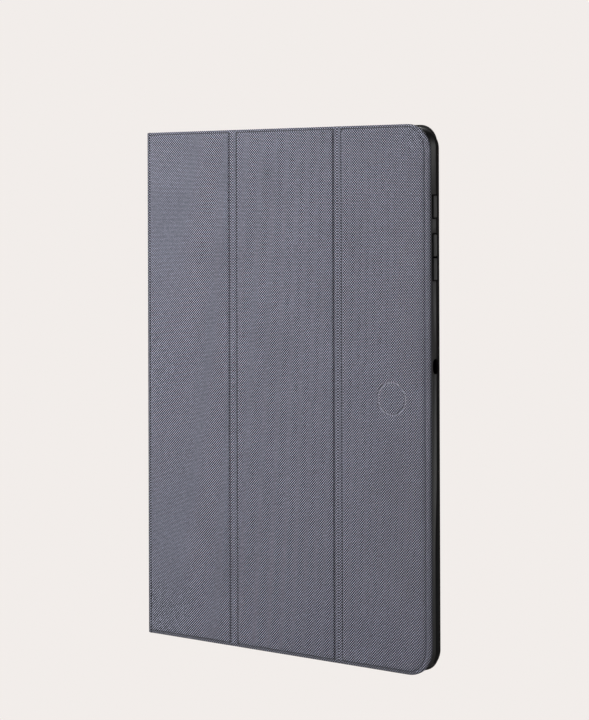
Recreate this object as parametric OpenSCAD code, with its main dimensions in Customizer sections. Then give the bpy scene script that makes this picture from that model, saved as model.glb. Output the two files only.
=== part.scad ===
// Folio case for a tablet of the 10.5 inch class. A soft moulded shell holds the tablet. A spine
// joins the shell's back to a front cover of three stiff panels with two creases between them.
// Each panel is a laminate: outer skin, board and lining. The skin folds round the board's edges.
// Parts are drawn lying on the back: x across, y along the height, z from the back to the cover.
// upright() then stands the case on its lower edge, with the cover facing -Y. Millimetres.

/* [Tablet] */
// Width of the tablet that the shell holds
tablet_w = 161.9; // [158:0.1:166]
// Height of the tablet
tablet_h = 246.8; // [242:0.1:252]
// Thickness of the tablet
tablet_t = 7.0; // [6.4:0.1:7.6]

/* [Shell] */
// Thickness of the shell's side walls
wall_t = 1.6; // [1.2:0.1:2]
// Thickness of the shell's floor behind the tablet
floor_t = 1.4; // [1:0.1:1.8]
// Thickness of the lip that holds the tablet in
lip_t = 1.0; // [0.8:0.1:1.4]
// How far the lip reaches in over the tablet
lip_reach = 1.2; // [0.6:0.1:1.6]
// Outer corner radius of the shell
shell_r = 10; // [8:0.5:14]
// Width of the shell's rounded back edge
back_edge_w = 2.2; // [1.4:0.1:2.6]
// Depth of the shell's rounded back edge
back_edge_d = 5.1; // [3:0.1:5.6]

/* [Laminate] */
// Thickness of the outer skin
skin_t = 0.5; // [0.4:0.1:0.8]
// Thickness of the stiffening board
board_t = 0.7; // [0.5:0.1:1]
// Thickness of the inner lining
lining_t = 0.3; // [0.2:0.1:0.5]
// Thickness of the board in the back panel
back_board_t = 0.5; // [0.4:0.1:0.8]
// Skin left around a board at the upper and lower edges
hem_w = 1.6; // [1.2:0.1:3]
// Skin left beyond the board at the cover's free edge
free_hem_w = 3.2; // [2:0.1:5]
// Skin left beside a board at a fold
fold_hem_w = 0.8; // [0.6:0.1:1.5]
// Depth of the line pressed into the skin round each board
press_depth = 0.15; // [0.1:0.05:0.25]
// Width of that pressed line
press_w = 0.5; // [0.3:0.1:0.8]

/* [Cover] */
// Width of the panel next to the spine
inner_panel_w = 52.8; // [48:0.1:58]
// Width of the middle panel
middle_panel_w = 58.6; // [54:0.1:62]
// Width of each crease between two panels
crease_w = 3.5; // [3:0.1:5]
// Cover beyond the shell at the upper and lower edges
end_overhang = 1.15; // [0.8:0.05:2]
// Cover beyond the shell at the free edge
free_overhang = 0.7; // [0.5:0.1:1.5]
// Corner radius of the cover at the free edge
cover_r = 12.5; // [8:0.5:14]
// Corner radius of the cover at the spine
spine_corner_r = 1.0; // [0.5:0.1:2]
// Smallest corner radius of the boards
board_corner_r = 1.4; // [0.5:0.1:3]
// Corner radius of the back panel on the open side
back_r = 9; // [6:0.5:14]
// Outer radius of the plain ring pressed into the free panel
ring_r = 7.5; // [4:0.5:9]

/* [Buttons] */
// Height of the power button's middle above the lower edge
power_y = 214.6; // [208:0.1:220]
// Height of the volume buttons' meeting line
volume_y = 191.45; // [182:0.1:194]
// Length of each button cap
cap_len = 10.4; // [8:0.1:12]
// Width of each button cap
cap_w = 3.4; // [2.8:0.1:3.8]
// How far a cap stands out of the wall
cap_proud = 0.4; // [0.2:0.1:0.5]
// Height of the microphone slot's middle above the lower edge
mic_y = 141.5; // [120:0.5:160]

/* [Camera] */
// Side of the square window for the camera
camera_side = 16; // [10:0.5:18]
// Distance from the tablet's side to the window's middle
camera_in_x = 14.5; // [13:0.5:25]
// Distance from the tablet's top to the window's middle
camera_in_y = 14.6; // [13:0.5:25]

/* [Hidden] */

skin_grey = [0.42, 0.42, 0.46];
lining_grey = [0.28, 0.28, 0.30];
shell_grey = [0.16, 0.16, 0.16];
board_buff = [0.72, 0.69, 0.62];
magnet_silver = [0.75, 0.76, 0.78];

move_gap = 0.3;          // room between parts that move past each other
eps = 0.5;               // overrun of a cutting shape past the face that it cuts
arc_steps = 10;          // straight steps in a rounded corner of 90 degrees

// Thickness, from the back at 0 to the cover's face at case_t
back_t = skin_t + back_board_t;
bay_z0 = back_t + floor_t;
bay_depth = tablet_t + 0.2;
rim_z0 = bay_z0 + bay_depth;
rim_z1 = rim_z0 + lip_t;
cover_t = skin_t + board_t + lining_t;
cover_z0 = rim_z1 + move_gap;
case_t = cover_z0 + cover_t;
board_z0 = cover_z0 + lining_t;
board_z1 = board_z0 + board_t;

// Width, with x = 0 in the middle of the cover
bay_w = tablet_w + 0.4;
shell_w = bay_w + 2 * wall_t;
spine_t = cover_t;
case_w = spine_t + move_gap + shell_w + free_overhang;
case_x0 = -case_w / 2;
case_x1 = case_w / 2;
shell_x0 = case_x0 + spine_t + move_gap;
shell_x1 = shell_x0 + shell_w;
bay_x1 = shell_x1 - wall_t;

// Height, with y = 0 at the lower edge
bay_h = tablet_h + 0.2;
shell_h = bay_h + 2 * wall_t;
case_h = shell_h + 2 * end_overhang;
shell_y0 = end_overhang;
shell_y1 = shell_y0 + shell_h;

// Fold lines
inner_x1 = case_x0 + inner_panel_w;
middle_x0 = inner_x1 + crease_w;
middle_x1 = middle_x0 + middle_panel_w;
free_x0 = middle_x1 + crease_w;

crease_corner_r = 0.4;

// A panel: [x0, x1, left corner radius, its steps, right corner radius, its steps]
INNER = [case_x0, inner_x1, spine_corner_r, 4, crease_corner_r, 2];
MIDDLE = [middle_x0, middle_x1, crease_corner_r, 2, crease_corner_r, 2];
FREE = [free_x0, case_x1, crease_corner_r, 2, cover_r, arc_steps];

// Magnets sit in slots through the boards
magnet_l = 30;
magnet_w = 5;
wake_side = 8;
magnet_fit = 0.1;
magnet_ys = [70, 182];
closing_x = case_x1 - free_hem_w - 5;
stand_x = case_x0 + 7;
wake_at = [free_x0 + 10, case_h - 28];

// Generic mark: a plain ring in the free panel
ring_at = [case_x1 - 21.3, 126];
ring_line = 0.8;

camera_at = [bay_x1 - camera_in_x, shell_y1 - wall_t - camera_in_y];
camera_r = 4;
back_inset = back_edge_w + 0.5;

// Button caps stand in the right wall, a little in front of its middle
cap_z1 = rim_z0 - 0.6;
cap_z0 = cap_z1 - cap_w;
cap_x0 = bay_x1 + 0.1;
cap_gap = 0.5;

port_z = bay_z0 + bay_depth / 2;

// ---------------------------------------------------------------- outlines
function corner(cx, cy, r, start, steps) =
    [for (i = [0:steps]) [cx + r * cos(start + 90 * i / steps), cy + r * sin(start + 90 * i / steps)]];

function outline(x0, x1, y0, y1, rl, left_steps, rr, right_steps) = concat(
    corner(x0 + rl, y0 + rl, rl, 180, left_steps),
    corner(x1 - rr, y0 + rr, rr, 270, right_steps),
    corner(x1 - rr, y1 - rr, rr, 0, right_steps),
    corner(x0 + rl, y1 - rl, rl, 90, left_steps));

// The whole panel, or with insets the board inside it
function panel_outline(p, left = 0, right = 0, ends = 0, least_r = 0.2) =
    outline(p[0] + left, p[1] - right, ends, case_h - ends,
            max(p[2] - left, least_r), p[3], max(p[4] - max(right, ends), least_r), p[5]);

function side_hem(x) = x == case_x1 ? free_hem_w : x == case_x0 ? hem_w : fold_hem_w;

function board_outline(p, grow = 0) =
    panel_outline(p, side_hem(p[0]) - grow, side_hem(p[1]) - grow, hem_w - grow, board_corner_r);

module upright() translate([0, case_t / 2, 0]) rotate([90, 0, 0]) children();

module plate(points, z0, z1) translate([0, 0, z0]) linear_extrude(z1 - z0) polygon(points);

module box_at(x0, x1, y0, y1, z0, z1) translate([x0, y0, z0]) cube([x1 - x0, y1 - y0, z1 - z0]);

module rounded_plate(x0, x1, y0, y1, r, z0, z1)
    plate(outline(x0, x1, y0, y1, r, arc_steps, r, arc_steps), z0, z1);

// ---------------------------------------------------------------- cover panels
module press_line(points_out, points_in) difference() {
    plate(points_out, case_t - press_depth, case_t + eps);
    plate(points_in, case_t - press_depth - eps, case_t + 2 * eps);
}

module panel_skin(p) difference() {
    plate(panel_outline(p), board_z0, case_t);
    plate(board_outline(p), board_z0 - eps, board_z1);
    press_line(board_outline(p), board_outline(p, -press_w));
}

module panel_lining(p) plate(panel_outline(p), cover_z0, board_z0);

module bar_magnet(x, y, fit = 0) translate([x, y, board_z0 + board_t / 2])
    cube([magnet_w + 2 * fit, magnet_l + 2 * fit, board_t + 2 * fit], center = true);

module wake_block(fit = 0) translate([wake_at[0], wake_at[1], board_z0 + board_t / 2])
    cube([wake_side + 2 * fit, wake_side + 2 * fit, board_t + 2 * fit], center = true);

module bar_magnets(x, fit = 0) for (y = magnet_ys) bar_magnet(x, y, fit);

module ring_groove() translate([ring_at[0], ring_at[1], case_t - press_depth]) difference() {
    cylinder(r = ring_r, h = press_depth + eps, $fn = 64);
    translate([0, 0, -eps]) cylinder(r = ring_r - ring_line, h = press_depth + 3 * eps, $fn = 64);
}

module inner_panel_skin() color(skin_grey) upright() panel_skin(INNER);

module inner_panel_board() color(board_buff) upright() difference() {
    plate(board_outline(INNER), board_z0, board_z1);
    bar_magnets(stand_x, magnet_fit);
}

module inner_panel_lining() color(lining_grey) upright() panel_lining(INNER);

module stand_magnets() color(magnet_silver) upright() bar_magnets(stand_x);

module middle_panel_skin() color(skin_grey) upright() panel_skin(MIDDLE);

module middle_panel_board() color(board_buff) upright()
    plate(board_outline(MIDDLE), board_z0, board_z1);

module middle_panel_lining() color(lining_grey) upright() panel_lining(MIDDLE);

module free_panel_skin() color(skin_grey) upright() difference() {
    panel_skin(FREE);
    ring_groove();
}

module free_panel_board() color(board_buff) upright() difference() {
    plate(board_outline(FREE), board_z0, board_z1);
    bar_magnets(closing_x, magnet_fit);
    wake_block(magnet_fit);
}

module free_panel_lining() color(lining_grey) upright() panel_lining(FREE);

module closing_magnets() color(magnet_silver) upright() bar_magnets(closing_x);

module wake_magnet() color(magnet_silver) upright() wake_block();

// ---------------------------------------------------------------- creases
// Between two panels the skin lies straight on the lining, with no board.
module crease_layer(x0, z0, z1)
    box_at(x0, x0 + crease_w, 0, case_h, z0, z1);

module inner_crease_skin() color(skin_grey) upright() crease_layer(inner_x1, board_z0, board_z0 + skin_t);

module inner_crease_lining() color(lining_grey) upright() crease_layer(inner_x1, cover_z0, board_z0);

module outer_crease_skin() color(skin_grey) upright() crease_layer(middle_x1, board_z0, board_z0 + skin_t);

module outer_crease_lining() color(lining_grey) upright() crease_layer(middle_x1, cover_z0, board_z0);

// ---------------------------------------------------------------- spine
spine_z0 = back_t + move_gap;
spine_z1 = rim_z1;
spine_x1 = case_x0 + spine_t;

module spine_skin() color(skin_grey) upright() difference() {
    box_at(case_x0, spine_x1 - lining_t, 0, case_h, spine_z0, spine_z1);
    box_at(case_x0 + skin_t, spine_x1 - lining_t + eps, hem_w, case_h - hem_w,
           spine_z0 + fold_hem_w, spine_z1 - fold_hem_w);
}

module spine_board() color(board_buff) upright()
    box_at(case_x0 + skin_t, spine_x1 - lining_t, hem_w, case_h - hem_w,
           spine_z0 + fold_hem_w, spine_z1 - fold_hem_w);

module spine_lining() color(lining_grey) upright()
    box_at(spine_x1 - lining_t, spine_x1, 0, case_h, spine_z0, spine_z1);

// ---------------------------------------------------------------- back panel
// The back panel is as tall as the cover, and stops short of the shell's rounded edge.
back_x1 = shell_x1 - back_inset;

module back_layer(inset, z0, z1)
    plate(outline(case_x0 + inset, back_x1 - inset, inset, case_h - inset, spine_corner_r, 4,
                  back_r - inset, arc_steps), z0, z1);

module camera_hole(side, z0, z1)
    rounded_plate(camera_at[0] - side / 2, camera_at[0] + side / 2, camera_at[1] - side / 2,
                  camera_at[1] + side / 2, camera_r, z0, z1);

module back_board() color(board_buff) upright() difference() {
    back_layer(hem_w, skin_t, back_t);
    camera_hole(camera_side + 4, skin_t - eps, back_t + eps);
}

module back_skin() color(skin_grey) upright() difference() {
    back_layer(0, 0, back_t);
    difference() {
        back_layer(hem_w, skin_t, back_t + eps);
        camera_hole(camera_side + 4, skin_t - eps, back_t + 2 * eps);
    }
    camera_hole(camera_side + 2, -eps, back_t + eps);
}

// ---------------------------------------------------------------- shell
// Section of the side wall, x measured from the centre of the corner's arc. The outside is flat,
// and rounds into the back along a quarter ellipse. The lip reaches in over the tablet.
edge_steps = 6;
wall_section = concat(
    [[shell_r - back_edge_w - 1.5, back_t]],
    [for (i = [0:edge_steps]) [shell_r - back_edge_w + back_edge_w * sin(90 * i / edge_steps),
                               back_t + back_edge_d * (1 - cos(90 * i / edge_steps))]],
    [[shell_r, rim_z1 - 0.4], [shell_r - 0.4, rim_z1], [shell_r - wall_t - lip_reach, rim_z1],
     [shell_r - wall_t - lip_reach, rim_z0], [shell_r - wall_t, rim_z0], [shell_r - wall_t, bay_z0],
     [shell_r - back_edge_w - 1.5, bay_z0]]);

module straight_wall(len) rotate([90, 0, 0]) linear_extrude(len, center = true) polygon(wall_section);

module corner_wall() rotate_extrude(angle = 90, $fn = 96) polygon(wall_section);

module shell_wall() {
    mid_x = (shell_x0 + shell_x1) / 2;
    mid_y = (shell_y0 + shell_y1) / 2;
    run_x = shell_w / 2 - shell_r;
    run_y = shell_h / 2 - shell_r;
    translate([mid_x, mid_y, 0]) {
        translate([run_x, 0, 0]) straight_wall(2 * run_y);
        translate([0, run_y, 0]) rotate(90) straight_wall(2 * run_x);
        translate([-run_x, 0, 0]) rotate(180) straight_wall(2 * run_y);
        translate([0, -run_y, 0]) rotate(270) straight_wall(2 * run_x);
        translate([run_x, run_y, 0]) corner_wall();
        translate([-run_x, run_y, 0]) rotate(90) corner_wall();
        translate([-run_x, -run_y, 0]) rotate(180) corner_wall();
        translate([run_x, -run_y, 0]) rotate(270) corner_wall();
    }
}

module shell_floor() {
    inset = back_edge_w + 0.8;
    rounded_plate(shell_x0 + inset, shell_x1 - inset, shell_y0 + inset, shell_y1 - inset,
                  shell_r - inset, back_t, bay_z0);
}

// Slot with round ends through the right wall: len along the height, w across the thickness
module side_slot(y, z, len, w) translate([bay_x1 - 2 * eps, y, z]) rotate([0, 90, 0])
    linear_extrude(wall_t + 4 * eps)
        polygon(outline(-w / 2, w / 2, -len / 2, len / 2, w / 2 - 0.01, arc_steps, w / 2 - 0.01, arc_steps));

// Slot with round ends through the wall at the end edge_y: len across, w across the thickness
module end_slot(x, edge_y, len, w) translate([x, edge_y, port_z]) rotate([90, 0, 0])
    linear_extrude(2 * wall_t + 4 * eps, center = true)
        polygon(outline(-len / 2, len / 2, -w / 2, w / 2, w / 2 - 0.01, arc_steps, w / 2 - 0.01, arc_steps));

module button_cut(y0, y1)
    box_at(bay_x1 - 2 * eps, shell_x1 + eps, y0 - move_gap, y1 + move_gap, cap_z0 - move_gap, rim_z0 - 0.1);

module tpu_shell() color(shell_grey) upright() difference() {
    union() {
        shell_wall();
        shell_floor();
    }
    camera_hole(camera_side, back_t - eps, bay_z0 + eps);
    button_cut(power_y - cap_len / 2, power_y + cap_len / 2);
    button_cut(volume_y - cap_gap / 2 - cap_len, volume_y + cap_gap / 2 + cap_len);
    side_slot(mic_y, port_z + 0.7, 7, 4.5);
    end_slot(0, shell_y0, 14, 6);
    end_slot(68, shell_y1, 8, 6.2);
    for (x = [-50, 50], edge_y = [shell_y0, shell_y1]) end_slot(x, edge_y, 18, 3.4);
}

// ---------------------------------------------------------------- buttons
module button_cap(y) {
    rise = 0.4;
    translate([cap_x0, y, (cap_z0 + cap_z1) / 2]) rotate([0, 90, 0]) {
        linear_extrude(shell_x1 - cap_x0) polygon(outline(-cap_w / 2, cap_w / 2, -cap_len / 2,
            cap_len / 2, 0.8, 4, 0.8, 4));
        linear_extrude(shell_x1 - cap_x0 + cap_proud) polygon(outline(-cap_w / 2 + rise,
            cap_w / 2 - rise, -cap_len / 2 + rise, cap_len / 2 - rise, 0.6, 4, 0.6, 4));
    }
}

module power_button_cap() color(shell_grey) upright() button_cap(power_y);

module volume_up_cap() color(shell_grey) upright() button_cap(volume_y + (cap_gap + cap_len) / 2);

module volume_down_cap() color(shell_grey) upright() button_cap(volume_y - (cap_gap + cap_len) / 2);

// ---------------------------------------------------------------- assembly
tpu_shell();
back_board();
back_skin();
power_button_cap();
volume_up_cap();
volume_down_cap();
spine_skin();
spine_board();
spine_lining();
inner_panel_skin();
inner_panel_board();
inner_panel_lining();
stand_magnets();
inner_crease_skin();
inner_crease_lining();
middle_panel_skin();
middle_panel_board();
middle_panel_lining();
outer_crease_skin();
outer_crease_lining();
free_panel_skin();
free_panel_board();
free_panel_lining();
closing_magnets();
wake_magnet();
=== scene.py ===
"""Folio case for a tablet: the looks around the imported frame. Metres, +Z up, cover facing -Y."""

import math

import bmesh
import bpy
from mathutils import Matrix, Vector


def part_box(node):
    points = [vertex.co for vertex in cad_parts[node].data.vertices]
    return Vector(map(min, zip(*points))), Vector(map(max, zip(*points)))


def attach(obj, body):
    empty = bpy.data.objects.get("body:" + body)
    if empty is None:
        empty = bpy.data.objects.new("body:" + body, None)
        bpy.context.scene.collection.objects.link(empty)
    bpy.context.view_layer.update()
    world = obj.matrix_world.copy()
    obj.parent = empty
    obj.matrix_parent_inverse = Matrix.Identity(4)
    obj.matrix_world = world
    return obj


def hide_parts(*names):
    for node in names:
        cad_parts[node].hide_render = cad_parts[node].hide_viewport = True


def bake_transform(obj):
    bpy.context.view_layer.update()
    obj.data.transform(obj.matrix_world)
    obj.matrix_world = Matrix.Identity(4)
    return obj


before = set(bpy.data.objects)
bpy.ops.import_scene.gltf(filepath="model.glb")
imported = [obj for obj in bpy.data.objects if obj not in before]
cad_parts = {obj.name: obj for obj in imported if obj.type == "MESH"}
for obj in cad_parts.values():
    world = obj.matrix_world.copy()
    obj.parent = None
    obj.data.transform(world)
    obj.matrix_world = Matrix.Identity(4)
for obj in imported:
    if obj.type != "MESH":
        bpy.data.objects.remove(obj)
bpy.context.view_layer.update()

MM = 0.001

# ------------------------------------------------------------------ places taken from the frame
inner_lo, inner_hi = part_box("inner_panel_skin")
middle_lo, middle_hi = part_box("middle_panel_skin")
free_lo, free_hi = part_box("free_panel_skin")
lining_lo, lining_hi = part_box("inner_panel_lining")
shell_lo, shell_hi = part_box("tpu_shell")
back_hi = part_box("back_skin")[1]

FRONT = free_lo.y  # face of the cover
BACK = back_hi.y  # face of the back panel
LEFT = inner_lo.x
RIGHT = free_hi.x
HEIGHT = free_hi.z
LINING_FRONT = lining_lo.y
LINING_BACK = lining_hi.y
SPINE_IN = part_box("spine_lining")[1].x  # inner face of the spine
WALL = shell_hi.x  # outer face of the shell's right wall
RIM = shell_lo.y
SHELL_BACK = shell_hi.y

# ------------------------------------------------------------------ sizes of the visible detail
CORNER_STEPS = 12  # segments round a corner
MIN_RADIUS = 0.05 * MM
SUPPORT = 0.1 * MM  # loops this far beside a line keep the shading of the long faces level

# Cloth: skin, hems and pressed lines
SKIN = 0.5 * MM
COVER_RADIUS = 12.5 * MM
BACK_RADIUS = 9 * MM
BOARD_CORNER = 1.4 * MM
CREASE_CORNER = 0.3 * MM
HEM_DEPTH = 0.28 * MM  # how far the hem lies below the face of the panel
END_HEM = 1.6 * MM  # width of the hem at top and bottom
FREE_HEM = 3.2 * MM  # at the cover's free edge
FOLD_HEM = 0.8 * MM  # beside a crease
SPINE_HEM = 1.1 * MM  # beside the spine
LINE_SLOPE = 0.12 * MM  # depth over which a pressed line reaches its full tone
WEAVE_CELL = 0.65 * MM

# Creases and spine
WEB_STEPS = 6
WEB_LIP = 0.12 * MM  # how far a crease's strip reaches under its panel
CORNER_STRIP = 1.5 * MM  # the part of a panel beside the spine that bends with it
STRIP_LAP = 0.1 * MM
SPINE_RADIUS = 0.4 * MM
SPINE_REACH = 2.0 * MM  # how far a corner's skin reaches down the spine's side
SPINE_DROP = 0.5 * MM  # how far a corner of the spine is rounded off at top and bottom
INSIDE_REACH = 3.2 * MM

# Plain pressed ring on the free panel
RING_AT = Vector((RIGHT - 21.3 * MM, 0, 126 * MM))
RING_RADIUS = 7.5 * MM
RING_WIDTH = 0.8 * MM
RING_DEPTH = 0.24 * MM
RING_STEPS = 72

# Shell
WALL_T = 1.6 * MM
LIP_T = 1.0 * MM
LIP_REACH = 1.2 * MM
FLOOR_T = 1.4 * MM
EDGE_W = 2.2 * MM  # width and depth of the quarter-ellipse back edge
EDGE_D = 5.1 * MM
EDGE_STEPS = 10
RIM_RADIUS = 0.4 * MM
SHELL_RADIUS = 10 * MM
SHELL_STEPS = 24
SHELL_SHARP = 40.0

# Openings, as length and width
CAMERA_SIDE, CAMERA_RADIUS = 16 * MM, 4 * MM
CAMERA_IN = Vector((14.5 * MM, 0, 14.6 * MM))  # its middle, from the bay's corner
CAMERA_MARGIN = 2 * MM  # how much wider the skin's opening is than the shell's
PEN_Z, PEN_SLOT = 141.5 * MM, (7 * MM, 4.5 * MM)
PORT_SLOT = (14 * MM, 6 * MM)
JACK_X, JACK_SLOT = 68 * MM, (8 * MM, 6.2 * MM)
SPEAKER_X, SPEAKER_SLOT = 50 * MM, (18 * MM, 3.4 * MM)
TAB_GAP = 0.3 * MM
UP, OUT_RIGHT = (0, 0, 1), (1, 0, 0)

# How strongly the cloth is darkened, from 0 to 1: where it is pressed, and as painted shade in the
# grooves, on the foot's hem and on the free panel's side
PRESSED_LINE_SHADE_TONE = 0.35  # an upright line beside a board: pressed yarn and painted shade in its groove
FOOT_SHADE_TONE = 0.45  # painted shade on the hem along the cover's foot
FREE_HEM_TONE = 0.2  # the hem along the cover's free edge
SPINE_TONE = 0.6  # the cover's edge at the spine
FREE_SIDE_SHADE_TONE = 0.75  # painted shade on the side of the free panel


# ------------------------------------------------------------------ mesh helpers
def clamp(value, high=1.0):
    return max(0.0, min(high, value))


def corner(cx, cz, rx, rz, start, steps):
    """Points of one rounded corner, from the start angle through 90 degrees."""
    turns = [math.radians(start + 90 * i / steps) for i in range(steps + 1)]
    return [(cx + rx * math.cos(t), cz + rz * math.sin(t)) for t in turns]


def outline(rect, corners, inset=(0, 0, 0, 0), steps=CORNER_STEPS, least=MIN_RADIUS):
    """Rounded rectangle. rect is (x0, x1, z0, z1), inset is for (left, right, bottom, top), and
    corners are the radii (rx, rz) at bottom left, bottom right, top right and top left."""
    left, right, bottom, top = inset
    x0, x1, z0, z1 = rect[0] + left, rect[1] - right, rect[2] + bottom, rect[3] - top
    sides = ((left, bottom), (right, bottom), (right, top), (left, top))
    radii = [
        (max(rx - dx, least), max(rz - dz, least))
        for (rx, rz), (dx, dz) in zip(corners, sides)
    ]
    bl, br, tr, tl = radii
    return (
        corner(x0 + bl[0], z0 + bl[1], *bl, 180, steps)
        + corner(x1 - br[0], z0 + br[1], *br, 270, steps)
        + corner(x1 - tr[0], z1 - tr[1], *tr, 0, steps)
        + corner(x0 + tl[0], z1 - tl[1], *tl, 90, steps)
    )


def side_weights(weights, steps=CORNER_STEPS):
    """A weight for each point of outline(), which blends from side to side round each corner."""
    left, right, bottom, top = weights
    pairs = ((left, bottom), (bottom, right), (right, top), (top, left))
    return [a + (b - a) * i / steps for a, b in pairs for i in range(steps + 1)]


def new_object(name, bm, sharp=45.0):
    """A mesh object from bm, shaded smooth except at edges sharper than the angle in degrees."""
    bmesh.ops.remove_doubles(bm, verts=bm.verts, dist=1e-7)
    bmesh.ops.recalc_face_normals(bm, faces=bm.faces)
    mesh = bpy.data.meshes.new(name)
    bm.to_mesh(mesh)
    bm.free()
    obj = bpy.data.objects.new(name, mesh)
    bpy.context.scene.collection.objects.link(obj)
    finish_shading(mesh, sharp)
    return obj


def finish_shading(mesh, sharp):
    mesh.polygons.foreach_set("use_smooth", [True] * len(mesh.polygons))
    mesh.set_sharp_from_angle(angle=math.radians(sharp))


def ringed(name, rect, corners, rings, place, hem=(0, 0, 0, 0), press=(1, 1, 1, 1), sharp=45.0,
           steps=CORNER_STEPS, inner_corner=0.0):
    """A closed body of outline rings. Each ring is (share of hem, inset, depth, pressed depth).
    place(a, b, depth) gives the point in the frame. The UV map unrolls the rings from the first.
    hem and press are for (left, right, bottom, top): the hem's width, and the share of the pressed
    depth. inner_corner is the least corner radius at a full share of the hem."""
    bm = bmesh.new()
    uv = bm.loops.layers.uv.new("UVMap")
    weights = side_weights(press, steps)
    loops, flat = [], []
    run, last = [0.0] * 4, None
    for share, inset, depth, pressed in rings:
        insets = [share * h + inset for h in hem]
        if last:
            run = [r + math.hypot(i - j, depth - last[1])
                   for r, i, j in zip(run, insets, last[0])]
        else:
            first = insets
        last = (insets, depth)
        least = max(share * inner_corner + min(inset, 0), MIN_RADIUS)
        points = outline(rect, corners, insets, steps, least)
        loops.append([bm.verts.new(place(a, b, depth + pressed * w))
                      for (a, b), w in zip(points, weights)])
        flat.append(outline(rect, corners, [f - r for f, r in zip(first, run)], steps, least))
    count = len(loops[0])

    def face(corners_of_face):
        made = bm.faces.new([v for v, _ in corners_of_face])
        for loop, (_, where) in zip(made.loops, corners_of_face):
            loop[uv].uv = where

    for k in range(len(loops) - 1):
        for i in range(count):
            j = (i + 1) % count
            quad = ((loops[k][i], flat[k][i]), (loops[k][j], flat[k][j]),
                    (loops[k + 1][j], flat[k + 1][j]), (loops[k + 1][i], flat[k + 1][i]))
            if len({tuple(v.co) for v, _ in quad}) > 2:
                face(quad)
    face(list(zip(loops[0], flat[0])))
    face(list(zip(loops[-1], flat[-1])))
    return new_object(name, bm, sharp)


def swept(name, section, z0, z1, u0, drop=None, round_end=0, face_points=0):
    """A closed strip: the section's (x, y) points, swept from z0 to z1. drop(x, y) shortens an end.
    round_end is the radius that the first face_points of the section turn back with at each end.
    The UV map starts at u0 and unrolls the section."""
    bm = bmesh.new()
    uv = bm.loops.layers.uv.new("UVMap")
    run = [u0]
    for a, b in zip(section, section[1:]):
        run.append(run[-1] + math.hypot(b[0] - a[0], b[1] - a[1]))
    steps = 4
    turns = [math.radians(90 * i / steps) for i in range(steps + 1)]
    if not round_end:
        turns = [math.pi / 2]
    rows = [(z0 + round_end * (1 - math.cos(t)), 1, round_end * (1 - math.sin(t))) for t in turns]
    rows += [(z0 + END_HEM + side * SUPPORT, 1, 0) for side in (-1, 1)]
    rows += [(z0 + z1 - z, -1, back) for z, _, back in reversed(rows)]
    rings = [
        [bm.verts.new((x, y + (back if k < face_points else 0),
                       z + sign * (drop(x, y) if drop else 0)))
         for k, (x, y) in enumerate(section)]
        for z, sign, back in rows
    ]
    count = len(section)
    for low, high in zip(rings, rings[1:]):
        for i in range(count):
            j = (i + 1) % count
            made = bm.faces.new((low[i], low[j], high[j], high[i]))
            far = run[j] if j else run[-1]
            for loop, u in zip(made.loops, (run[i], far, far, run[i])):
                loop[uv].uv = (u, loop.vert.co.z)
    for ring in (rings[0], rings[-1]):
        made = bm.faces.new(ring)
        for loop in made.loops:
            loop[uv].uv = (u0 + loop.vert.co.x, loop.vert.co.y)
    return new_object(name, bm)


def cut(obj, cutters, sharp=45.0):
    """Takes each cutter away from obj, for good."""
    for tool in cutters:
        step = obj.modifiers.new("cut", "BOOLEAN")
        step.operation = "DIFFERENCE"
        step.solver = "EXACT"
        step.object = tool
        graph = bpy.context.evaluated_depsgraph_get()
        mesh = bpy.data.meshes.new_from_object(obj.evaluated_get(graph))
        obj.modifiers.remove(step)
        obj.data = mesh
        bpy.data.objects.remove(tool)
    finish_shading(obj.data, sharp)


def as_is(x, z, y):
    """For rings drawn on the frame's own x and z, with y as their depth."""
    return Vector((x, y, z))


def on_front(x, z, depth):
    return Vector((x, FRONT + depth, z))


def on_back(x, z, depth):
    return Vector((x, BACK - depth, z))


def on_spine(y, z, depth):
    return Vector((LEFT + depth, y, z))


def beside_spine(place):
    """place without the pressed line along the spine, where the skin runs flat to the corner."""
    fade = 0.6 * MM
    line_end = LEFT + CORNER_STRIP + SPINE_HEM + 1.0 * MM
    edge_from = HEM_DEPTH + 0.31 * MM  # from this depth on, a point is on the panel's own edge

    def flat(x, z, depth):
        near = (line_end - x) / fade
        between = (min(z, HEIGHT - z) - END_HEM) / fade
        if depth < edge_from:
            depth *= 1 - clamp(near) * clamp(between)
        return place(x, z, depth)
    return flat


# ------------------------------------------------------------------ cover panels
def skin_rings(depth):
    """From the flat middle over the board's edge, the pressed line and the hem to the inside."""
    return [
        (1, 2.0 * MM, 0, 0),
        (1, 0.75 * MM, 0, 0),
        (1, 0.42 * MM, 0.03 * MM, 0),
        (1, 0.18 * MM, 0.13 * MM, 0.02 * MM),
        (1, -0.04 * MM, 0.31 * MM, 0.05 * MM),
        (1, -0.18 * MM, 0.42 * MM, 0.06 * MM),
        (1, -0.34 * MM, 0.45 * MM, 0.06 * MM),
        (1, -0.5 * MM, 0.39 * MM, 0.05 * MM),
        (1, -0.68 * MM, HEM_DEPTH, 0.04 * MM),
        (0, 0.12 * MM, HEM_DEPTH, 0.02 * MM),
        (0, 0.05 * MM, HEM_DEPTH + 0.05 * MM, 0.01 * MM),
        (0, 0.01 * MM, HEM_DEPTH + 0.16 * MM, 0),
        (0, 0, HEM_DEPTH + 0.3 * MM, 0),
        (0, 0, depth - 0.02 * MM, 0),
        (0, 0.05 * MM, depth, 0),
    ]


def lining_rings(front, back):
    """The lining's slab: hidden face first, then its edge and its pressed inner face."""
    return [
        (0, 0.35 * MM, front, 0),
        (0, 0.12 * MM, front, 0),
        (0, 0.1 * MM, back - 0.12 * MM, 0),
        (0, 0.18 * MM, back - 0.03 * MM, 0),
        (0, 0.32 * MM, back, 0),
        (1, -0.25 * MM, back, 0),
        (1, 0, back, -0.08 * MM),
        (1, 0.25 * MM, back, 0),
        (1, 1.0 * MM, back, 0),
    ]


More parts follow.
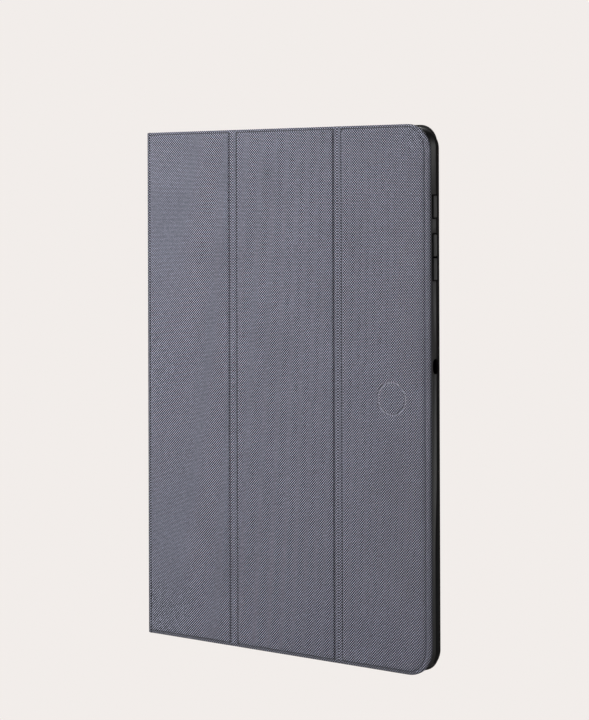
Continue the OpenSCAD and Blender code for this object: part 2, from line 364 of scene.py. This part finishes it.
def cover_panel(name, lo, hi, corners, hem, press, place=on_front):
    """The skin and the lining of one stiff panel, which both ride with it."""
    rect = (lo.x, hi.x, 0, HEIGHT)
    depth = LINING_FRONT - FRONT
    skin = ringed(f"{name}_fabric", rect, corners, skin_rings(depth), place, hem, press,
                  inner_corner=BOARD_CORNER)
    lining = ringed(f"{name}_microfibre", rect, corners,
                    lining_rings(depth, LINING_BACK - FRONT), on_front, hem, press,
                    inner_corner=BOARD_CORNER)
    for piece, node in ((skin, f"{name}_skin"), (lining, f"{name}_lining")):
        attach(piece, name)
        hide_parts(node)
    return skin, lining


SQUARE = (MIN_RADIUS, MIN_RADIUS)
FOLD = (CREASE_CORNER, CREASE_CORNER)
FREE = (COVER_RADIUS, COVER_RADIUS)

inner_from = Vector((inner_lo.x + CORNER_STRIP, inner_lo.y, inner_lo.z))
inner_fabric, inner_microfibre = cover_panel(
    "inner_panel", inner_from, inner_hi, [SQUARE, FOLD, FOLD, SQUARE],
    (SPINE_HEM, FOLD_HEM, END_HEM, END_HEM), (0, 1, 0, 0), beside_spine(on_front))
middle_fabric, middle_microfibre = cover_panel(
    "middle_panel", middle_lo, middle_hi, [FOLD] * 4,
    (FOLD_HEM, FOLD_HEM, END_HEM, END_HEM), (1, 1, 0, 0))
free_fabric, free_microfibre = cover_panel(
    "free_panel", free_lo, free_hi, [FOLD, FREE, FREE, FOLD],
    (FOLD_HEM, FREE_HEM, END_HEM, END_HEM), (1, -2, 0, 0))


def ring_cutter():
    """A round groove with sloping sides, for the plain pressed mark."""
    bm = bmesh.new()
    uv = bm.loops.layers.uv.new("UVMap")
    top, bottom, above = 0.9 * RING_WIDTH, 0.28 * RING_WIDTH, 0.3 * MM
    section = [(-top, -above), (top, -above), (bottom, RING_DEPTH), (-bottom, RING_DEPTH)]
    rings = []
    for i in range(RING_STEPS):
        turn = 2 * math.pi * i / RING_STEPS
        rings.append([
            bm.verts.new((RING_AT.x + (RING_RADIUS + r) * math.cos(turn), FRONT + y,
                          RING_AT.z + (RING_RADIUS + r) * math.sin(turn)))
            for r, y in section
        ])
    count = len(section)
    for i in range(RING_STEPS):
        a, b = rings[i], rings[(i + 1) % RING_STEPS]
        for k in range(count):
            made = bm.faces.new((a[k], b[k], b[(k + 1) % count], a[(k + 1) % count]))
            for loop in made.loops:
                loop[uv].uv = (loop.vert.co.x, loop.vert.co.z)
    return new_object("ring_cutter", bm)


cut(free_fabric, [ring_cutter()])


# ------------------------------------------------------------------ creases
def crease(name, x0, x1, left_body, right_body):
    """The bare web of one crease, in two halves that meet at its middle."""
    middle = (x0 + x1) / 2
    top = FRONT + HEM_DEPTH + 0.02 * MM
    groove = 0.05 * MM  # pressed into the lining along the fold line
    short = 0.1 * MM  # how much shorter the lining is at each end
    made = []
    for half, edge, sign, panel in (("left", x0, 1, left_body), ("right", x1, -1, right_body)):
        face = [(edge - sign * WEB_LIP, top + WEB_LIP), (edge + sign * 0.02 * MM, top + 0.01 * MM)]
        face += [(edge + (middle - edge) * k / WEB_STEPS, top) for k in range(1, WEB_STEPS + 1)]
        skin = swept(f"{name}_{half}_fabric",
                     face + [(x, LINING_FRONT) for x, _ in reversed(face)], 0, HEIGHT, face[0][0],
                     round_end=0.25 * MM, face_points=len(face))
        inside = [(x, LINING_BACK) for x, _ in face]
        inside[2] = (inside[2][0], LINING_BACK - groove)
        lining = swept(f"{name}_{half}_microfibre",
                       inside + [(x, LINING_FRONT) for x, _ in reversed(face)], short,
                       HEIGHT - short, face[0][0])
        for piece in (skin, lining):
            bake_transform(piece)
            made.append(piece)
    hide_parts(f"{name}_skin")
    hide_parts(f"{name}_lining")
    return made[0::2], made[1::2]


inner_web, inner_web_lining = crease(
    "inner_crease", inner_hi.x, middle_lo.x, "inner_panel", "middle_panel")
outer_web, outer_web_lining = crease(
    "outer_crease", middle_hi.x, free_lo.x, "middle_panel", "free_panel")


# ------------------------------------------------------------------ spine
def spine_corner(name, face_y, inward):
    """Skin round one long edge of the spine, from a panel's face to the spine's side. The section
    runs along the panel, round the corner and down the side, and back again on the inside."""
    radius, inner_r = SPINE_RADIUS, max(SPINE_RADIUS - SKIN, 0.3 * MM)
    panel_x = LEFT + CORNER_STRIP + STRIP_LAP
    turns = [math.radians(90 * i / 6) for i in range(7)]
    outer = [(panel_x, face_y)]
    outer += [(LEFT + radius - radius * math.sin(t), face_y + inward * radius * (1 - math.cos(t)))
              for t in turns]
    outer.append((LEFT, face_y + inward * SPINE_REACH))
    inner = [(panel_x, face_y + inward * SKIN)]
    inner += [(LEFT + SKIN + inner_r * (1 - math.sin(t)),
               face_y + inward * (SKIN + inner_r * (1 - math.cos(t)))) for t in turns]
    inner.append((LEFT + SKIN, face_y + inward * SPINE_REACH))

    def drop(x, y):
        near = max(abs(x - LEFT), abs(y - face_y)) / (1.2 * MM)
        return SPINE_DROP * max(0.0, 1 - near) ** 2

    piece = swept(name, outer + inner[::-1], 0, HEIGHT, panel_x, drop)
    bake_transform(piece)
    return piece


front_corner = spine_corner("spine_front_fabric", FRONT, 1)
back_corner = spine_corner("spine_back_fabric", BACK, -1)


def inside_corner(name, face_y, inward, panel_x):
    """Lining round the inside of one long edge of the spine."""
    gap = 0.35 * MM
    side = 1.4 * MM
    face = face_y + inward * (LINING_BACK - FRONT)
    section = [
        (panel_x, face),
        (SPINE_IN + 0.5 * MM, face),
        (SPINE_IN + 0.12 * MM, face + inward * 0.1 * MM),
        (SPINE_IN, face + inward * 0.4 * MM),
        (SPINE_IN, face + inward * side),
        (SPINE_IN - gap, face + inward * side),
        (SPINE_IN - gap, face - inward * 0.05 * MM),
        (SPINE_IN - 0.1 * MM, face - inward * gap),
        (panel_x, face - inward * gap),
    ]
    short = 0.4 * MM
    piece = swept(name, section, short, HEIGHT - short, panel_x)
    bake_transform(piece)
    return piece


front_inside = inside_corner("spine_front_microfibre", FRONT, 1, LEFT + INSIDE_REACH)

SPINE_SIDE = SPINE_REACH + STRIP_LAP
spine_rect = (FRONT + SPINE_SIDE, BACK - SPINE_SIDE, 0, HEIGHT)
spine_corners = [(0.3 * MM, 0.3 * MM)] * 4
spine_lining_from = SPINE_IN - LEFT - 0.3 * MM
spine_side = ringed("spine_side_fabric", spine_rect, spine_corners, [
    (1, 1.1 * MM, 0, 0),
    (1, 0.3 * MM, 0, 0),
    (1, 0.12 * MM, 0.01 * MM, 0.12 * MM),
    (1, -0.12 * MM, 0.01 * MM, 0.14 * MM),
    (1, -0.35 * MM, 0.01 * MM, 0),
    (0, 0.06 * MM, 0, 0),
    (0, 0, 0.1 * MM, 0),
    (0, 0, spine_lining_from, 0),
], on_spine, hem=(0.2 * MM, 0.2 * MM, END_HEM, END_HEM), press=(0, 0, 1, 1))
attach(spine_side, "spine")
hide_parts("spine_skin")
spine_inside = ringed("spine_side_microfibre", spine_rect, spine_corners, [
    (0, 0.4 * MM, spine_lining_from, 0),
    (0, 0.1 * MM, spine_lining_from + 0.02 * MM, 0),
    (0, 0.1 * MM, SPINE_IN - LEFT - 0.08 * MM, 0),
    (0, 0.25 * MM, SPINE_IN - LEFT, 0),
    (0, 0.8 * MM, SPINE_IN - LEFT, 0),
], on_spine)
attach(spine_inside, "spine")
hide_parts("spine_lining")

# ------------------------------------------------------------------ back panel
camera_at = Vector((WALL - WALL_T - CAMERA_IN.x, 0, shell_hi.z - WALL_T - CAMERA_IN.z))


def camera_cutter(side, radius, y0, y1, flare):
    """A rounded square through the back. It opens out by flare at its outer end y1."""
    half = side / 2
    rect = (camera_at.x - half, camera_at.x + half, camera_at.z - half, camera_at.z + half)
    return ringed("camera_cutter", rect, [(radius, radius)] * 4, [
        (0, 0, y0, 0),
        (0, 0, y1 - 1.5 * flare, 0),
        (0, -0.3 * flare, y1 - 0.6 * flare, 0),
        (0, -flare, y1, 0),
        (0, -flare, y1 + 2 * MM, 0),
    ], as_is)


back_rect = (LEFT + CORNER_STRIP, back_hi.x, 0, HEIGHT)
ROUND_BACK = (BACK_RADIUS, BACK_RADIUS)
back_fabric = ringed("back_panel_fabric", back_rect, [SQUARE, ROUND_BACK, ROUND_BACK, SQUARE],
                     skin_rings(BACK - SHELL_BACK), beside_spine(on_back),
                     (SPINE_HEM, END_HEM, END_HEM, END_HEM), (0, 0, 0, 0),
                     inner_corner=BOARD_CORNER)
cut(back_fabric, [camera_cutter(CAMERA_SIDE + CAMERA_MARGIN, CAMERA_RADIUS + 0.5 * MM,
                                SHELL_BACK - 1 * MM, BACK, 0.25 * MM)])
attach(back_fabric, "shell")
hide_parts("back_skin")


# ------------------------------------------------------------------ shell
def shell_body():
    """The tray: flat back, quarter-ellipse back edge, wall, rounded rim, lip and bay."""
    rings = [(0, EDGE_W + 2 * MM, SHELL_BACK, 0), (0, EDGE_W + 0.3 * MM, SHELL_BACK, 0)]
    for i in range(EDGE_STEPS + 1):
        t = math.radians(90 * i / EDGE_STEPS)
        rings.append((0, EDGE_W * (1 - math.sin(t)), SHELL_BACK - EDGE_D * (1 - math.cos(t)), 0))
    for degrees in (0, 30, 60, 90):
        t = math.radians(degrees)
        rings.append((0, RIM_RADIUS * (1 - math.cos(t)), RIM + RIM_RADIUS * (1 - math.sin(t)), 0))
    reach = WALL_T + LIP_REACH
    rings += [
        (0, reach - 0.35 * MM, RIM, 0),
        (0, reach - 0.1 * MM, RIM + 0.1 * MM, 0),
        (0, reach, RIM + 0.35 * MM, 0),
        (0, reach, RIM + LIP_T - 0.15 * MM, 0),
        (0, reach - 0.15 * MM, RIM + LIP_T, 0),
        (0, WALL_T + 0.1 * MM, RIM + LIP_T, 0),
        (0, WALL_T, RIM + LIP_T + 0.1 * MM, 0),
        (0, WALL_T, SHELL_BACK - FLOOR_T - 0.4 * MM, 0),
        (0, WALL_T + 0.4 * MM, SHELL_BACK - FLOOR_T, 0),
        (0, WALL_T + 2 * MM, SHELL_BACK - FLOOR_T, 0),
    ]
    rect = (shell_lo.x, shell_hi.x, shell_lo.z, shell_hi.z)
    return ringed("shell_tray", rect, [(SHELL_RADIUS, SHELL_RADIUS)] * 4, rings, as_is,
                  sharp=SHELL_SHARP, steps=SHELL_STEPS)


def slot_cutter(centre, size, out, along, deep=2.2 * MM, flare=0.3 * MM, radius=None):
    """A slot of (length, width) through a wall, with round ends unless it has a radius. out is the
    wall's outward direction, and along the slot's."""
    out, along = Vector(out), Vector(along)
    across = out.cross(along)
    half_l, half_w = size[0] / 2, size[1] / 2
    r = half_w - 0.01 * MM if radius is None else radius

    def place(a, b, depth):
        return Vector(centre) + along * b + across * a - out * depth

    return ringed("slot_cutter", (-half_w, half_w, -half_l, half_l), [(r, r)] * 4, [
        (0, -flare, -1.5 * MM, 0),
        (0, -flare, -0.02 * MM, 0),
        (0, -0.3 * flare, 0.35 * flare, 0),
        (0, 0, 1.1 * flare, 0),
        (0, 0, deep, 0),
    ], place, steps=8)


def node_middle(name):
    lo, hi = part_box(name)
    return (lo + hi) / 2, hi - lo


power_at, cap_size = node_middle("power_button_cap")
up_at, _ = node_middle("volume_up_cap")
down_at, _ = node_middle("volume_down_cap")
PORT_Y = (RIM + LIP_T + SHELL_BACK - FLOOR_T) / 2

shell = shell_body()
button_slots = []
for top, bottom in ((power_at.z, power_at.z), (up_at.z, down_at.z)):
    low, high = bottom - cap_size.z / 2 - TAB_GAP, top + cap_size.z / 2 + TAB_GAP
    y0, y1 = RIM + LIP_T + 0.1 * MM, power_at.y + cap_size.y / 2 + TAB_GAP
    button_slots.append(slot_cutter((WALL, (y0 + y1) / 2, (low + high) / 2), (high - low, y1 - y0),
                                    OUT_RIGHT, UP, flare=0.15 * MM, radius=0.7 * MM))
cut(shell, button_slots + [
    slot_cutter((WALL, PORT_Y - 0.7 * MM, PEN_Z), PEN_SLOT, OUT_RIGHT, UP, deep=2.4 * MM),
    slot_cutter((0, PORT_Y, shell_lo.z), PORT_SLOT, (0, 0, -1), (1, 0, 0)),
    slot_cutter((JACK_X, PORT_Y, shell_hi.z), JACK_SLOT, (0, 0, 1), (1, 0, 0)),
] + [
    slot_cutter((x, PORT_Y, z), SPEAKER_SLOT, (0, 0, out), (1, 0, 0))
    for x in (-SPEAKER_X, SPEAKER_X) for z, out in ((shell_lo.z, -1), (shell_hi.z, 1))
] + [
    camera_cutter(CAMERA_SIDE, CAMERA_RADIUS, SHELL_BACK - FLOOR_T - 1 * MM, SHELL_BACK,
                  0.2 * MM),
], sharp=SHELL_SHARP)
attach(shell, "shell")
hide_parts("tpu_shell")


# ------------------------------------------------------------------ buttons
def button(node, body):
    """A rounded tab with a slightly dished middle."""
    lo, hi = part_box(node)

    def place(y, z, depth):
        return Vector((hi.x - depth, y, z))

    rect = (lo.y, hi.y, lo.z, hi.z)
    cap = ringed(f"{body}_tab", rect, [(0.8 * MM, 0.8 * MM)] * 4, [
        (0, 1.3 * MM, 0.08 * MM, 0),
        (0, 0.95 * MM, 0.04 * MM, 0),
        (0, 0.6 * MM, 0, 0),
        (0, 0.36 * MM, 0.04 * MM, 0),
        (0, 0.16 * MM, 0.16 * MM, 0),
        (0, 0.04 * MM, 0.36 * MM, 0),
        (0, 0, 0.6 * MM, 0),
        (0, 0, (hi - lo).x, 0),
    ], place, steps=6)
    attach(cap, body)
    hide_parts(node)
    return cap


tabs = [button(f"{body}_cap", body) for body in ("power_button", "volume_up", "volume_down")]


# ------------------------------------------------------------------ materials
# Colours are linear. A pair is mixed by a noise. Noise scales are per metre.
LIGHT_YARN = ((0.44, 0.455, 0.585, 1), (0.69, 0.71, 0.9, 1))
DARK_YARN = ((0.003, 0.003, 0.005, 1), (0.011, 0.011, 0.016, 1))
FLATTENED = (0.3, 0.305, 0.365, 1)
# Flat dark grey for pressed cloth, which also paints the shade in grooves and on faces turned from
# the light
PRESSED_AND_SHADE = (0.1, 0.102, 0.118, 1)
SEALED = (0.005, 0.005, 0.005, 1)
LINING = ((0.035, 0.035, 0.039, 1), (0.085, 0.085, 0.092, 1))
TPU_WALL = ((0.018, 0.018, 0.0184, 1), (0.026, 0.026, 0.0264, 1))
# Painted shade for the shell's rounded back edge, which turns away from the light
TPU_BACK_SHADE = (0.0035, 0.0035, 0.0036, 1)
BOARD = ((0.36, 0.32, 0.26, 1), (0.62, 0.57, 0.48, 1))
NICKEL = ((0.5, 0.49, 0.47, 1), (0.68, 0.67, 0.65, 1))
YARN_ACROSS, YARN_ALONG = 2600.0, 420.0


def mark_pressed_and_shade(objects):
    """Notes on every point if the cloth is pressed (lines and hems, darkened partly as painted
    shade in the lines' grooves, on the foot's hem and on the free panel's side), flattened (the
    ring) or sealed (the back panel's cut edge)."""
    for obj in objects:
        pressed, flattened, sealed = (obj.data.attributes.new(name, "FLOAT", "POINT")
                                      for name in ("pressed", "flattened", "sealed"))
        for vertex, value, flat, seal in zip(obj.data.vertices, pressed.data, flattened.data,
                                             sealed.data):
            x, y, z = vertex.co
            from_front, from_back = y - FRONT, BACK - y
            depth = min(from_front, from_back)
            upright = 2.2 * MM < z < HEIGHT - 2.2 * MM
            in_line = depth < HEM_DEPTH + 0.25 * MM
            # Painted shade: a pressed line is darkened for its pressed yarn and for the shade in
            # its groove.
            line = (depth - HEM_DEPTH - 0.04 * MM) / LINE_SLOPE if in_line else 0
            line = clamp(line, PRESSED_LINE_SHADE_TONE if upright else 1.0)
            # Painted shade: the hem along the foot is darkened.
            if y < 0 and z < END_HEM:
                line = max(line, FOOT_SHADE_TONE)
            if y < 0 and x > RIGHT - FREE_HEM - 1.2 * MM and upright:
                line = FREE_HEM_TONE
            if x < LEFT + 0.4 * MM and from_front < 0.8 * MM:
                line = SPINE_TONE
            # Painted shade: the side of the free panel is darkened.
            in_edge = HEM_DEPTH + 0.2 * MM < from_front < LINING_BACK - FRONT
            if x > RIGHT - COVER_RADIUS and in_edge:
                line = FREE_SIDE_SHADE_TONE
            away = abs(math.hypot(x - RING_AT.x, z - RING_AT.z) - RING_RADIUS)
            in_ring = away < 0.5 * RING_WIDTH and 0.02 * MM < from_front < 0.3 * MM
            in_cut = HEM_DEPTH + 0.02 * MM < from_back < BACK - SHELL_BACK + 0.01 * MM
            value.value, flat.value, seal.value = line, in_ring, in_cut


class Shader:
    """A small helper around one node tree."""

    def __init__(self, name):
        self.material = bpy.data.materials.new(name)
        self.material.use_nodes = True
        self.tree = self.material.node_tree
        self.surface = self.tree.nodes["Principled BSDF"]

    def node(self, kind, **settings):
        made = self.tree.nodes.new(kind)
        for key, value in settings.items():
            setattr(made, key, value)
        return made

    def link(self, source, target):
        self.tree.links.new(source, target)

    def feed(self, **sources):
        """Links outputs to the surface's inputs, which are named as base_color for Base Color."""
        for name, source in sources.items():
            self.link(source, self.surface.inputs[name.replace("_", " ").title()])

    def set(self, **values):
        """Sets numbers and colours that are the same all over the surface."""
        for name, value in values.items():
            socket = name.replace("_", " ").title().replace("Ior", "IOR")
            self.surface.inputs[socket].default_value = value

    def place(self):
        """The sheet's own unrolled coordinates."""
        return self.node("ShaderNodeUVMap", uv_map="UVMap").outputs[0]

    def solid_place(self):
        """Coordinates through the solid."""
        return self.node("ShaderNodeTexCoord").outputs["Object"]

    def parts(self, vector):
        split = self.node("ShaderNodeSeparateXYZ")
        self.link(vector, split.inputs[0])
        return split.outputs

    def attribute(self, name):
        return self.node("ShaderNodeAttribute", attribute_name=name).outputs["Fac"]

    def math(self, operation, *values):
        made = self.node("ShaderNodeMath", operation=operation)
        for socket, value in zip(made.inputs, values):
            if isinstance(value, (int, float)):
                socket.default_value = value
            else:
                self.link(value, socket)
        return made.outputs[0]

    def noise(self, vector, scale, detail=2.0, roughness=0.5):
        """Noise with one scale, or with one for each direction."""
        if isinstance(scale, tuple):
            stretched = self.node("ShaderNodeVectorMath", operation="MULTIPLY")
            stretched.inputs[1].default_value = scale
            self.link(vector, stretched.inputs[0])
            vector, scale = stretched.outputs[0], 1.0
        made = self.node("ShaderNodeTexNoise")
        made.inputs["Scale"].default_value = scale
        made.inputs["Detail"].default_value = detail
        made.inputs["Roughness"].default_value = roughness
        self.link(vector, made.inputs["Vector"])
        return made.outputs["Fac"]

    def ranged(self, value, low, high, to_low, to_high, smooth=False):
        made = self.node("ShaderNodeMapRange")
        if smooth:
            made.interpolation_type = "SMOOTHSTEP"
        limits = (("From Min", low), ("From Max", high), ("To Min", to_low), ("To Max", to_high))
        for name, number in limits:
            made.inputs[name].default_value = number
        self.link(value, made.inputs["Value"])
        return made.outputs[0]

    def mix(self, factor, a, b, blend="MIX"):
        made = self.node("ShaderNodeMix", data_type="RGBA", blend_type=blend)
        for name, value in (("Factor", factor), ("A", a), ("B", b)):
            if isinstance(value, (tuple, float)):
                made.inputs[name].default_value = value
            else:
                self.link(value, made.inputs[name])
        return made.outputs["Result"]

    def bump(self, height, distance, strength):
        made = self.node("ShaderNodeBump")
        made.inputs["Distance"].default_value = distance
        made.inputs["Strength"].default_value = strength
        self.link(height, made.inputs["Height"])
        self.feed(normal=made.outputs[0])


def woven_skin():
    """Plain weave of light and dark yarn, with painted shade between the yarns' crowns, slubs, slow
    random tone, and pressed places darkened with painted shade.
    """
    s = Shader("woven_skin")
    place = s.place()
    across = s.parts(place)
    waves = [s.math("SINE", s.math("MULTIPLY", across[k], math.pi / WEAVE_CELL)) for k in (0, 1)]
    product = s.math("MULTIPLY", *waves)
    light = s.ranged(product, 0.08, 0.5, 0.0, 1.0, smooth=True)
    crown = s.math("POWER", s.math("ABSOLUTE", product), 0.45)
    warp = s.noise(place, (YARN_ACROSS, YARN_ALONG, 1.0))
    weft = s.noise(place, (YARN_ALONG, YARN_ACROSS, 1.0))
    slow = s.noise(place, 38.0, 3.0, 0.6)
    slub = s.noise(place, (420.0, 900.0, 1.0), 2.0, 0.6)
    pressed = s.attribute("pressed")

    cloth = s.mix(light, s.mix(weft, *DARK_YARN), s.mix(warp, *LIGHT_YARN))
    cloth = s.mix(s.attribute("flattened"), cloth, FLATTENED)
    # Pressed places go towards a flat dark grey: pressed yarn, and painted shade in the grooves.
    cloth = s.mix(s.math("MULTIPLY", pressed, 0.8), cloth, PRESSED_AND_SHADE)
    cloth = s.mix(s.attribute("sealed"), cloth, SEALED)
    # Painted shade in the gaps between the yarns' crowns, times slow random tone, slubs, and the
    # painted shade of pressed places.
    shade = s.ranged(crown, 0.0, 1.0, 0.5, 1.05)
    for part in (s.ranged(slow, 0.3, 0.7, 0.94, 1.06), s.ranged(slub, 0.3, 0.7, 0.86, 1.14),
                 s.ranged(pressed, 0.0, 1.0, 1.0, 0.6)):
        shade = s.math("MULTIPLY", shade, part)
    grey = s.node("ShaderNodeCombineColor")
    for socket in grey.inputs:
        s.link(shade, socket)
    s.feed(base_color=s.mix(1.0, cloth, grey.outputs[0], "MULTIPLY"),
           roughness=s.ranged(warp, 0.2, 0.8, 0.7, 0.86))
    s.set(sheen_weight=0.12, sheen_roughness=0.5, specular_ior_level=0.3)
    s.bump(s.math("ADD", crown, s.math("MULTIPLY", warp, 0.25)), 0.07 * MM, 0.8)
    return s.material


def microfibre():
    """Dark short-napped lining, with brushed patches."""
    s = Shader("microfibre")
    place = s.place()
    nap = s.noise(place, 5200.0, 3.0, 0.7)
    patches = s.noise(place, (60.0, 24.0, 1.0), 3.0)
    tone = s.math("ADD", s.math("MULTIPLY", nap, 0.5), s.math("MULTIPLY", patches, 0.5))
    s.feed(base_color=s.mix(s.ranged(tone, 0.3, 0.7, 0.0, 1.0), *LINING),
           roughness=s.ranged(patches, 0.3, 0.7, 0.85, 0.98))
    s.set(sheen_weight=0.5, sheen_roughness=0.35, specular_ior_level=0.2)
    s.bump(nap, 0.06 * MM, 0.7)
    return s.material


def moulded_tpu(name, shade_from):
    """Satin dark rubbery plastic with fine grain and faint rub marks. Round the back it has painted
    shade, near black, and is duller there, from the given depth, and from a little before it near
    the foot."""
    s = Shader(name)
    place = s.solid_place()
    grain = s.noise(place, 3800.0, 2.0, 0.6)
    rubs = s.noise(place, (90.0, 90.0, 14.0), 4.0, 0.65)
    at = s.parts(place)
    middle, half = (shell_lo + shell_hi) / 2, (shell_hi - shell_lo) / 2
    sides = [
        s.math("SUBTRACT", s.math("ABSOLUTE", s.math("SUBTRACT", at[k], middle[k])), half[k])
        for k in (0, 2)
    ]
    # Painted shade: near the outer sides, from the given depth back, the colour goes near black for
    # the rounded back edge; near the foot the band starts further forward.
    outside = s.ranged(s.math("MAXIMUM", *sides), -1.9 * MM, -1.5 * MM, 0.0, 1.0)
    foot = s.ranged(at[2], 55 * MM, 95 * MM, 1.4 * MM, 0.0, smooth=True)
    back = s.ranged(s.math("ADD", at[1], foot), shade_from - 0.3 * MM, shade_from + 0.3 * MM,
                    0.0, 1.0, smooth=True)
    back = s.math("MULTIPLY", back, outside)
    wall = s.mix(s.ranged(rubs, 0.35, 0.7, 0.0, 1.0), *TPU_WALL)
    duller = s.math("MULTIPLY", back, 0.5)
    s.feed(base_color=s.mix(back, wall, TPU_BACK_SHADE),
           roughness=s.math("ADD", s.ranged(rubs, 0.3, 0.7, 0.42, 0.5), duller))
    s.bump(grain, 0.012 * MM, 0.6)
    return s.material


def grey_board():
    """Pressed paper board with fibres and specks."""
    s = Shader("grey_board")
    fibre = s.noise(s.solid_place(), (700.0, 700.0, 220.0), 4.0, 0.7)
    s.feed(base_color=s.mix(fibre, *BOARD), roughness=s.ranged(fibre, 0.3, 0.7, 0.82, 0.95))
    s.bump(fibre, 0.04 * MM, 0.6)
    return s.material


def plated_magnet():
    """Nickel plate with fine drag lines."""
    s = Shader("plated_magnet")
    lines = s.noise(s.solid_place(), (2400.0, 2400.0, 90.0), 3.0, 0.6)
    s.feed(base_color=s.mix(lines, *NICKEL), roughness=s.ranged(lines, 0.3, 0.7, 0.24, 0.4))
    s.set(metallic=1.0)
    s.bump(lines, 0.01 * MM, 0.5)
    return s.material


def dress(objects, material):
    for obj in objects:
        obj.data.materials.clear()
        obj.data.materials.append(material)


def dress_nodes(names, material):
    for name in names:
        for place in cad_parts[name].material_slots:
            place.material = material


skins = [inner_fabric, middle_fabric, free_fabric, *inner_web, *outer_web, front_corner,
         back_corner, spine_side, back_fabric]
linings = [inner_microfibre, middle_microfibre, free_microfibre, *inner_web_lining,
           *outer_web_lining, front_inside, spine_inside]
mark_pressed_and_shade(skins)
dress(skins, woven_skin())
dress(linings, microfibre())
dress([shell], moulded_tpu("shell_tpu", 0.0))
dress(tabs, moulded_tpu("tab_tpu", 5 * MM))
dress_nodes(["back_board", "spine_board", "inner_panel_board", "middle_panel_board",
             "free_panel_board"], grey_board())
dress_nodes(["stand_magnets", "closing_magnets", "wake_magnet"], plated_magnet())


# ------------------------------------------------------------------ stage, light and camera
BACKGROUND = (0.887, 0.847, 0.823, 1)  # warm white paper, linear
PAPER = (0.4, 0.39, 0.38, 1)  # what the paper throws back at the case
FLOOR_HALF, FLOOR_DROP = 6.0, 0.2 * MM
ROOM_FRONT, ROOM_BACK = 0.08, 0.01  # strength of the room's light
MIDDLE = (0, 0, 0.13)
# name, place, target, size, power
LAMPS = [
    ("key", (-0.45, -0.62, 0.6), MIDDLE, (0.35, 0.4), 9.0),
    ("card", (0.95, 0.85, 0.2), (0.08, 0, 0.13), (0.55, 1.0), 3.8),
    ("back", (-0.6, 0.8, 1.0), MIDDLE, (0.5, 0.5), 6.5),
]


def paper():
    """Pale paper. It looks evenly lit, and takes only a faint shadow."""
    s = Shader("paper")
    glow = s.node("ShaderNodeEmission")
    glow.inputs["Color"].default_value = BACKGROUND
    s.set(base_color=PAPER, roughness=1.0, specular_ior_level=0.0)
    mixed = s.node("ShaderNodeMixShader")
    s.link(s.node("ShaderNodeLightPath").outputs["Is Camera Ray"], mixed.inputs[0])
    s.link(s.surface.outputs[0], mixed.inputs[1])
    s.link(glow.outputs[0], mixed.inputs[2])
    s.link(mixed.outputs[0], s.tree.nodes["Material Output"].inputs["Surface"])
    return s.material


def stage():
    bm = bmesh.new()
    bmesh.ops.create_grid(bm, x_segments=8, y_segments=8, size=FLOOR_HALF)
    floor = new_object("floor", bm)
    floor.location.z = -FLOOR_DROP
    floor.data.materials.append(paper())


def room():
    """A dim room that is dark behind the case. The camera sees it as paper."""
    world = bpy.data.worlds.new("studio")
    world.use_nodes = True
    nodes, link = world.node_tree.nodes, world.node_tree.links.new
    light = nodes["Background"]
    light.inputs["Color"].default_value = (1, 1, 1, 1)
    facing = nodes.new("ShaderNodeSeparateXYZ")
    link(nodes.new("ShaderNodeTexCoord").outputs["Generated"], facing.inputs[0])
    dim = nodes.new("ShaderNodeMapRange")
    limits = (("From Min", 0.2), ("From Max", 0.6), ("To Min", ROOM_FRONT), ("To Max", ROOM_BACK))
    for name, value in limits:
        dim.inputs[name].default_value = value
    link(facing.outputs["Y"], dim.inputs["Value"])
    link(dim.outputs[0], light.inputs["Strength"])
    backdrop = nodes.new("ShaderNodeBackground")
    backdrop.inputs["Color"].default_value = BACKGROUND
    both = nodes.new("ShaderNodeMixShader")
    link(nodes.new("ShaderNodeLightPath").outputs["Is Camera Ray"], both.inputs[0])
    link(light.outputs[0], both.inputs[1])
    link(backdrop.outputs[0], both.inputs[2])
    link(both.outputs[0], nodes["World Output"].inputs["Surface"])
    bpy.context.scene.world = world


def lamp(name, at, target, size, power):
    data = bpy.data.lights.new(name, "AREA")
    data.shape = "RECTANGLE"
    data.size, data.size_y = size
    data.energy = power
    obj = bpy.data.objects.new(name, data)
    obj.location = at
    obj.rotation_euler = (Vector(target) - Vector(at)).to_track_quat("-Z", "Y").to_euler()
    obj.visible_camera = False
    bpy.context.scene.collection.objects.link(obj)


def camera():
    """36 degrees round to the right, level, framed low."""
    azimuth, roll = math.radians(35.97), math.radians(-0.187)
    data = bpy.data.cameras.new("camera")
    data.sensor_width = 36.0
    data.lens = 96.625
    data.shift_x = 0.00028
    data.shift_y = -0.20764
    data.clip_start = 0.01
    obj = bpy.data.objects.new("camera", data)
    forward = Vector((-math.sin(azimuth), math.cos(azimuth), 0))
    turn = forward.to_track_quat("-Z", "Y").to_matrix().to_4x4()
    at = Matrix.Translation((0.5499, FRONT - 0.7470, 0.2130))
    obj.matrix_world = at @ turn @ Matrix.Rotation(roll, 4, "Z")
    bpy.context.scene.collection.objects.link(obj)
    bpy.context.scene.camera = obj


stage()
room()
for values in LAMPS:
    lamp(*values)
camera()
bpy.context.scene.view_settings.view_transform = "Standard"
